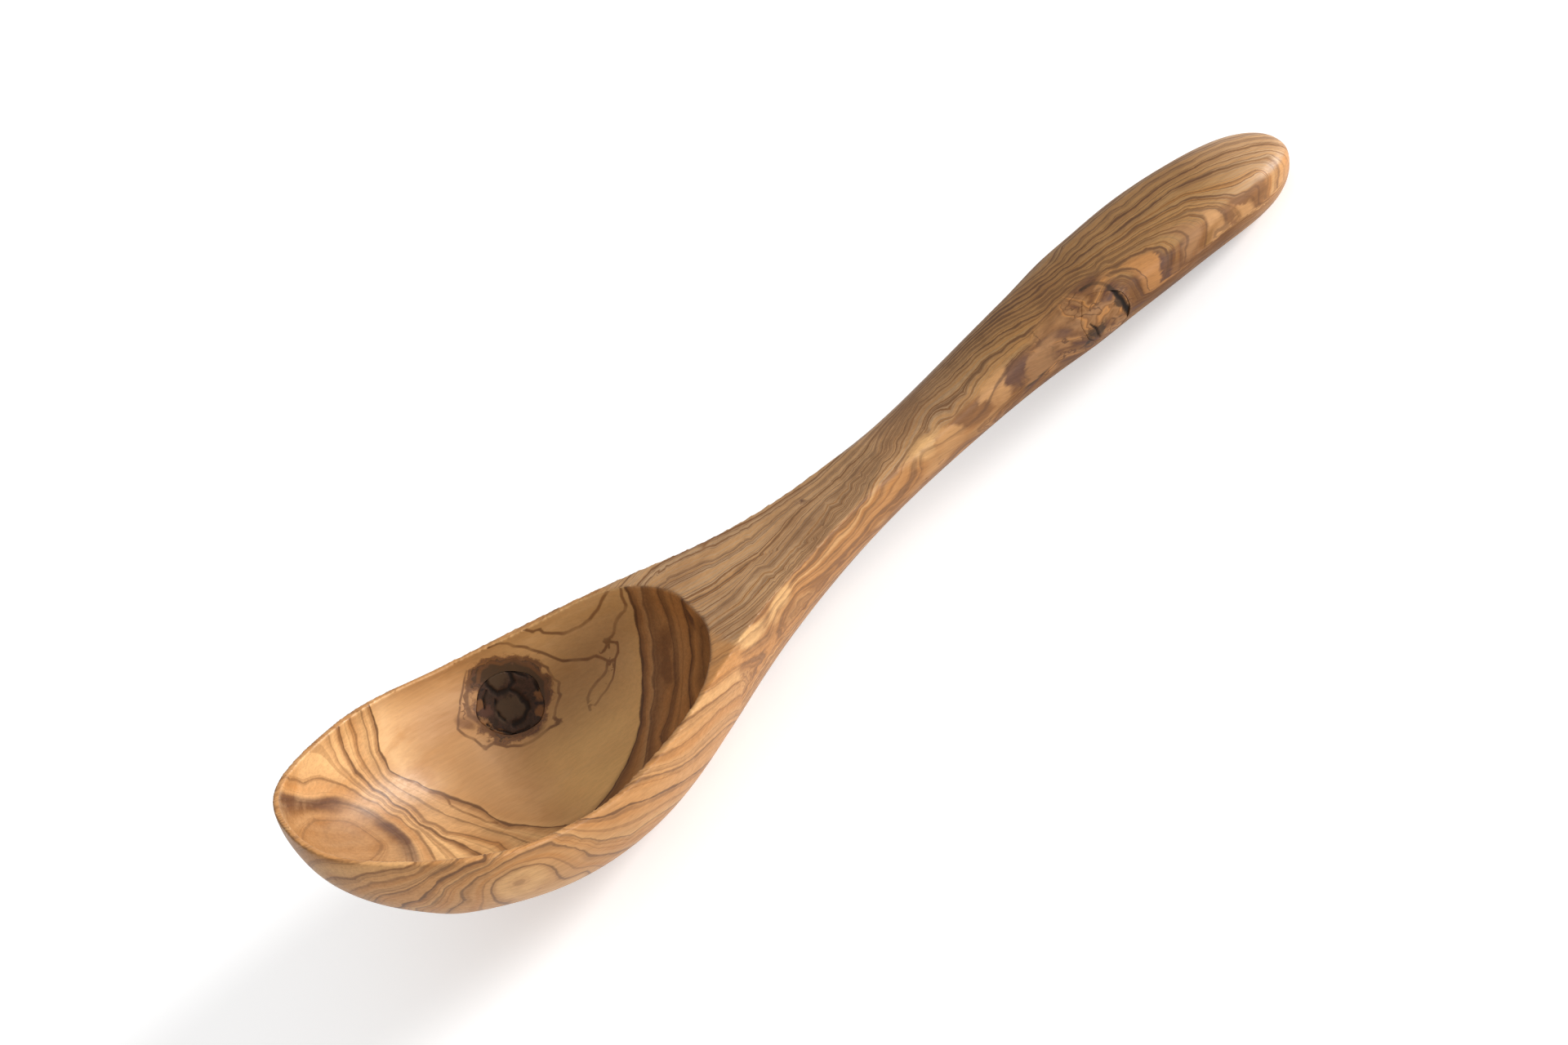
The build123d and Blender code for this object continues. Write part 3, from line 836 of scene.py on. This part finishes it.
class SPOON_OT_stage(bpy.types.Operator):
    """Camera, floor, lamps and world"""

    bl_idname = "spoon.stage"
    bl_label = "Stage"

    def execute(self, context):
        scene = context.scene
        scene.view_settings.view_transform = "Standard"
        data = bpy.data.cameras.new("camera")
        data.lens = LENS
        data.sensor_width = SENSOR
        data.sensor_fit = "HORIZONTAL"
        data.shift_x = (PHOTO_WIDTH / 2 - AIM_COLUMN) / PHOTO_WIDTH
        data.shift_y = (AIM_ROW - PHOTO_HEIGHT / 2) / PHOTO_WIDTH
        data.clip_start = 0.01
        camera = placed("camera", data)
        axes = Matrix((CAMERA_RIGHT, CAMERA_UP, CAMERA_BACK)).transposed()
        camera.matrix_world = Matrix.Translation(EYE) @ axes.to_4x4()
        scene.camera = camera

        work = bmesh.new()
        bmesh.ops.create_grid(work, x_segments=1, y_segments=1, size=FLOOR_HALF)
        mesh = mesh_of(work, "floor")
        mesh.transform(Matrix.Translation((0, 0, -FLOOR_DROP)))
        floor = placed("floor", mesh)
        mesh.materials.append(self.floor_finish(scene.spoon_sizes))

        world = bpy.data.worlds.new("studio")
        scene.world = world
        world.use_nodes = True
        background = world.node_tree.nodes["Background"]
        background.inputs["Color"].default_value = (1, 1, 1, 1)
        background.inputs["Strength"].default_value = WORLD_STRENGTH

        for name, energy, angle, way in SUNS:
            data = bpy.data.lights.new(name, "SUN")
            data.angle = math.radians(angle)
            data.energy = energy
            sun = placed(name, data)
            sun.rotation_euler = Vector(way).to_track_quat("Z", "Y").to_euler()
        return {"FINISHED"}

    def floor_finish(self, settings):
        """White, and a little brighter to the camera alone, with the spoon's shadow kept."""
        finish = Finish("white_floor", settings)
        path = finish.add("LightPath").outputs
        seen = finish.reckon("MAXIMUM", path["Is Camera Ray"], path["Is Glossy Ray"])
        finish.dress({
            "Base Color": (0.9, 0.9, 0.9, 1), "Roughness": 0.9, "Emission Color": (1, 1, 1, 1),
            "Emission Strength": finish.times(seen, FLOOR_GLOW),
        })
        return finish.material


def plug_axis(plug):
    """Where a plug starts and the way it points, in the frame of the resting spoon."""
    base, out = plug[:2]
    turn = Matrix.Rotation(math.radians(REST_TILT), 3, "Y")
    return (turn @ base) * MM + SEAT, (turn @ out).normalized()


def cutter(plug, name):
    """The tapered plug that a knot fills, with the wavy outline of the bark round it."""
    inner, outer, length = plug[2:]
    start, out = plug_axis(plug)
    side = out.orthogonal().normalized()
    across = out.cross(side)
    work = bmesh.new()
    rings = []
    for share in (0, 1):
        ring = []
        for k in range(BARK_POINTS):
            angle = math.tau * k / BARK_POINTS
            right, up = math.cos(angle), math.sin(angle)
            waver = BARK_WAVER * noise.noise(Vector((right * BARK_WAVES, up * BARK_WAVES, inner)))
            radius = (inner + (outer - inner) * share + waver - BARK_MARGIN) * MM
            way = side * right + across * up
            ring.append(work.verts.new(start + out * (length * share * MM) + way * radius))
        rings.append(ring)
    for k in range(BARK_POINTS):
        after = (k + 1) % BARK_POINTS
        work.faces.new((rings[0][k], rings[0][after], rings[1][after], rings[1][k]))
    work.faces.new(list(reversed(rings[0])))
    work.faces.new(rings[1])
    bmesh.ops.recalc_face_normals(work, faces=work.faces)
    return placed(name, mesh_of(work, name))


def settle(piece):
    """Turn a piece and its modifiers into a plain mesh."""
    graph = bpy.context.evaluated_depsgraph_get()
    settled = bpy.data.meshes.new_from_object(piece.evaluated_get(graph))
    piece.modifiers.clear()
    before, piece.data = piece.data, settled
    bpy.data.meshes.remove(before)
    settled.name = piece.name


def whole_skin(settings):
    """The whole carving as one even mesh, its edges eased as sanding leaves them."""
    kept = bpy.data.meshes.get("whole_skin")
    if kept:
        return kept
    work = bmesh.new()
    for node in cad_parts.values():
        work.from_mesh(node.data)
    bmesh.ops.remove_doubles(work, verts=work.verts, dist=MERGED)
    piece = placed("carving", mesh_of(work, "carving"))
    remesh = piece.modifiers.new("even", "REMESH")
    remesh.mode = "VOXEL"
    remesh.voxel_size = settings.skin_mesh
    easing = piece.modifiers.new("ease", "SMOOTH")
    easing.iterations = settings.edge_easing
    easing.factor = 0.5
    settle(piece)
    thinning = piece.modifiers.new("thin", "DECIMATE")
    thinning.ratio = min(1.0, settings.skin_faces / (2 * len(piece.data.polygons)))
    settle(piece)
    kept = piece.data
    bpy.data.objects.remove(piece)
    kept.name = "whole_skin"
    kept.use_fake_user = True
    return kept


def drop_slivers(mesh):
    """Take out the tiny doubled faces that a cut leaves along its edge."""
    work = bmesh.new()
    work.from_mesh(mesh)
    bmesh.ops.triangulate(work, faces=work.faces)
    bmesh.ops.remove_doubles(work, verts=work.verts, dist=SLIVER_MERGED)
    seen, slivers = set(), []
    for first in work.faces:
        if first in seen:
            continue
        seen.add(first)
        shell, waiting = [], [first]
        while waiting:
            face = waiting.pop()
            shell.append(face)
            for edge in face.edges:
                if len(edge.link_faces) == 2:
                    for other in edge.link_faces:
                        if other not in seen:
                            seen.add(other)
                            waiting.append(other)
        if len(shell) < FEWEST_FACES:
            slivers += shell
    bmesh.ops.delete(work, geom=slivers, context="FACES")
    work.to_mesh(mesh)
    work.free()


def cut_piece(settings, name, cuts, operation):
    """The skin less the plugs, or only what lies in one plug."""
    piece = placed(name, whole_skin(settings).copy())
    tools = [cutter(plug, f"{name}_cut_{index}") for index, plug in enumerate(cuts)]
    for tool in tools:
        boolean = piece.modifiers.new("cut", "BOOLEAN")
        boolean.operation = operation
        boolean.object = tool
        boolean.solver = "EXACT"
    settle(piece)
    for tool in tools:
        mesh = tool.data
        bpy.data.objects.remove(tool)
        bpy.data.meshes.remove(mesh)
    drop_slivers(piece.data)
    if len(piece.data.polygons) < FEWEST_FACES:
        raise RuntimeError(f"{name} came out empty")
    piece.data.shade_smooth()
    piece.data.set_sharp_from_angle(angle=math.radians(SHARP_EDGE))
    return piece


def finished(piece, node, material):
    piece.data.materials.clear()
    piece.data.materials.append(material)
    for polygon in piece.data.polygons:
        polygon.material_index = 0
    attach(piece, "root")
    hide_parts(node)


def plug_gap(plug, points):
    """How far each point lies outside a plug, in millimetres."""
    inner, outer, length = plug[2:]
    start, out = plug_axis(plug)
    start, out = np.array(start) / MM, np.array(out)
    along = (points - start) @ out
    across = np.linalg.norm(points - start - along[:, None] * out, axis=1)
    beyond = np.maximum(0, -along - 2)
    return np.hypot(np.maximum(0, across - inner - (outer - inner) * along / length), beyond)


def soft_noise(points, scale, seed):
    """Smooth noise from -1 to 1 over the points, with features of about the scale in mm."""
    offset = Vector((seed, seed * 1.7, -seed))
    return np.array([noise.noise(Vector(point) / scale + offset) for point in points])


def give_patches(mesh, settings, surface, patches, points, growth=None, rate=None):
    """Lay the patches of other wood on a mesh: their colour, and how far in each point lies."""
    ragged = soft_noise(points, 4.0, seed=1.3) + 0.5 * soft_noise(points, 1.7, seed=4.2)
    best = np.full(len(points), -1.0)
    tints = np.tile(wood_colour(settings, "tan"), (len(points), 1))
    for place, radius, name in patches:
        apart = np.linalg.norm(points - landed(surface, [place])[0], axis=1)
        if growth is not None:
            middle = np.argmin(apart)
            across = np.abs(growth - growth[middle]) / rate[middle]
            apart = np.hypot(0.55 * apart, 1.1 * across)
        share = 1 - apart / (2 * radius) + 0.22 * ragged
        better = share > best
        best[better] = share[better]
        tints[better] = wood_colour(settings, name)
    give(mesh, "patch_share", np.clip(best, 0, 1))
    attribute = mesh.attributes.new("patch", "FLOAT_COLOR", "POINT")
    attribute.data.foreach_set("color", tints.astype(np.float32).ravel())


class SPOON_OT_body(bpy.types.Operator):
    """The carved body with its figured skin"""

    bl_idname = "spoon.body"
    bl_label = "Spoon body"

    def execute(self, context):
        settings = context.scene.spoon_sizes
        body = cut_piece(settings, "olive_body", [BOWL_PLUG, HANDLE_PLUG], "DIFFERENCE")
        self.lay_figure(body.data, settings)
        finished(body, "spoon_body", OliveWood(settings).material)
        return {"FINISHED"}

    def lay_figure(self, mesh, settings):
        surface = cad_surface()
        points, normals = points_of(mesh)
        x, y, z = turned_back(points - np.array(SEAT) / MM)
        facing = turned_back(normals)
        upward = facing[2]

        middle_x = np.clip(x, *MIDDLE_ENDS)
        middle_z = np.where(
            middle_x < RIM_LOWEST, TIP_RISE * (1 - middle_x / RIM_LOWEST) ** 2,
            BACK_RISE * ((middle_x - RIM_LOWEST) / RIM_BEHIND) ** 2,
        )
        inward = np.stack([middle_x - x, -y, middle_z - 2 - z])
        inward /= np.maximum(1e-6, np.linalg.norm(inward, axis=0))
        in_hollow = smooth_step(*FACING_IN, np.sum(inward * facing, axis=0))
        in_hollow *= 1 - smooth_step(*HOLLOW_END, x)

        calm = soft_noise(points, 28, seed=3.1)
        waves = soft_noise(points, 9, seed=7.7)
        hidden = smooth_step(*FAR_SIDE, y) * (1 - in_hollow)
        rings = np.hypot(y * 0.9 + RING_CENTRE, z + RING_CENTRE) / RING_SPACING
        rings = rings + 1.6 * calm + x / 60
        side, side_rate = growth_field(surface, SIDE_LINES, points, normals)
        side = side + (rings - side) * hidden
        length, length_rate = growth_field(surface, LENGTH_LINES, points, normals)
        under = smooth_step(*FACING_DOWN, upward)
        behind_top = smooth_step(*FACING_FLAT, upward) * smooth_step(*FAR_TOP, y)
        drift = 5 + z / 4 + 2.2 * calm + 0.5 * waves
        away = np.maximum(under, behind_top)
        length = length + (drift - length) * away

        hollow, hollow_rate = growth_field(surface, HOLLOW_LINES, points, normals)
        give(mesh, "growth_hollow", hollow)
        give(mesh, "growth_side", side)
        give(mesh, "growth_length", length)
        give(mesh, "rate_hollow", hollow_rate)
        give(mesh, "rate_side", side_rate + (UNSEEN_RATE - side_rate) * hidden)
        give(mesh, "rate_length", length_rate + (UNSEEN_RATE - length_rate) * away)
        give(mesh, "in_hollow", in_hollow)
        give(mesh, "along", smooth_step(*NECK, x + 0.25 * y + 2 * waves))
        give(mesh, "on_top", smooth_step(*FACING_UP, upward))
        give(mesh, "behind", smooth_step(*BEHIND_FLOOR, x))
        give(mesh, "down_floor", smooth_step(*DOWN_FLOOR, x))
        # Where the far wall gets its painted shade
        give(mesh, "far_wall", smooth_step(*FAR_WALL_ACROSS, y) * smooth_step(*FAR_WALL, x))
        give(mesh, "handle", smooth_step(*HANDLE, x) * smooth_step(*HANDLE_END, x))
        veins, beside_vein = near_lines(surface, FLOOR_VEINS + HANDLE_CRACKS, points, normals)
        give(mesh, "veins", veins + 9 * (1 - np.maximum(in_hollow, x > HANDLE_VEINS)))
        give(mesh, "beside_vein", beside_vein)
        knot, spread = landed(surface, [HANDLE_KNOT])[0], 0.25 * waves
        apart = points - knot
        to_tip, to_end, aside = BURL_REACH
        reach = np.where(apart[:, 0] < 0, to_tip, to_end)
        spread += np.hypot(apart[:, 0] / reach, np.hypot(*apart[:, 1:].T) / aside)
        give(mesh, "burl", smooth_step(1.1, 0.75, spread))
        lower, upper = landed(surface, RING_PLACES, spacing=99)
        bowl_gap = plug_gap(BOWL_PLUG, points - (upper - lower))
        give(mesh, "knot_gap", bowl_gap)
        give(mesh, "by_bowl_knot", smooth_step(14, 10, bowl_gap))
        zones = [in_hollow > 0.5, x > NECK_LINES]
        growth = np.select(zones, [hollow, length], side)
        rate = np.select(zones, [hollow_rate, length_rate], side_rate)
        give_patches(mesh, settings, surface, PATCHES, points, growth, rate)


class SPOON_OT_knots(bpy.types.Operator):
    """The two plugs of dead wood with their cracks"""

    bl_idname = "spoon.knots"
    bl_label = "Dead knots"

    def execute(self, context):
        settings = context.scene.spoon_sizes
        surface = cad_surface()
        material = KnotWood(settings).material
        for name, node, plug, cracks in (
            ("bowl_knot_wood", "bowl_knot", BOWL_PLUG, BOWL_CRACKS),
            ("handle_knot_wood", "handle_knot", HANDLE_PLUG, HANDLE_CRACKS),
        ):
            knot = cut_piece(settings, name, [plug], "INTERSECT")
            remesh = knot.modifiers.new("fine", "REMESH")
            remesh.mode = "VOXEL"
            remesh.voxel_size = settings.knot_mesh
            settle(knot)
            mesh = knot.data
            mesh.shade_smooth()
            points, normals = points_of(mesh)
            open_wood, _ = near_lines(surface, cracks, points, normals, wander=0.7)
            sunk = (1 - smooth_step(0.15, 0.9, open_wood)) * settings.crack_depth / MM
            mesh.vertices.foreach_set("co", ((points - normals * sunk[:, None]) * MM).ravel())
            give(mesh, "cracks", open_wood)
            give(mesh, "burl", np.full(len(points), float(node == "handle_knot")))
            give_patches(mesh, settings, surface, KNOT_PATCHES, points)
            finished(knot, node, material)
        return {"FINISHED"}


class SPOON_PT_panel(bpy.types.Panel):
    """The spoon's sizes, colours and making"""

    bl_idname = "SPOON_PT_panel"
    bl_label = "Olive wood spoon"
    bl_space_type = "VIEW_3D"
    bl_region_type = "UI"
    bl_category = "Spoon"

    def draw(self, context):
        settings = context.scene.spoon_sizes
        for name in SPOON_PG_sizes.__annotations__:
            self.layout.prop(settings, name)
        for operator in (SPOON_OT_stage, SPOON_OT_body, SPOON_OT_knots):
            self.layout.operator(operator.bl_idname)


classes = (SPOON_PG_sizes, SPOON_OT_stage, SPOON_OT_body, SPOON_OT_knots, SPOON_PT_panel)


def register():
    for item in classes:
        bpy.utils.register_class(item)
    bpy.types.Scene.spoon_sizes = bpy.props.PointerProperty(type=SPOON_PG_sizes)


def unregister():
    del bpy.types.Scene.spoon_sizes
    for item in reversed(classes):
        bpy.utils.unregister_class(item)


def main():
    register()
    bpy.ops.spoon.stage()
    bpy.ops.spoon.body()
    bpy.ops.spoon.knots()
    bpy.data.meshes.remove(bpy.data.meshes["whole_skin"])


if __name__ == "__main__":
    main()
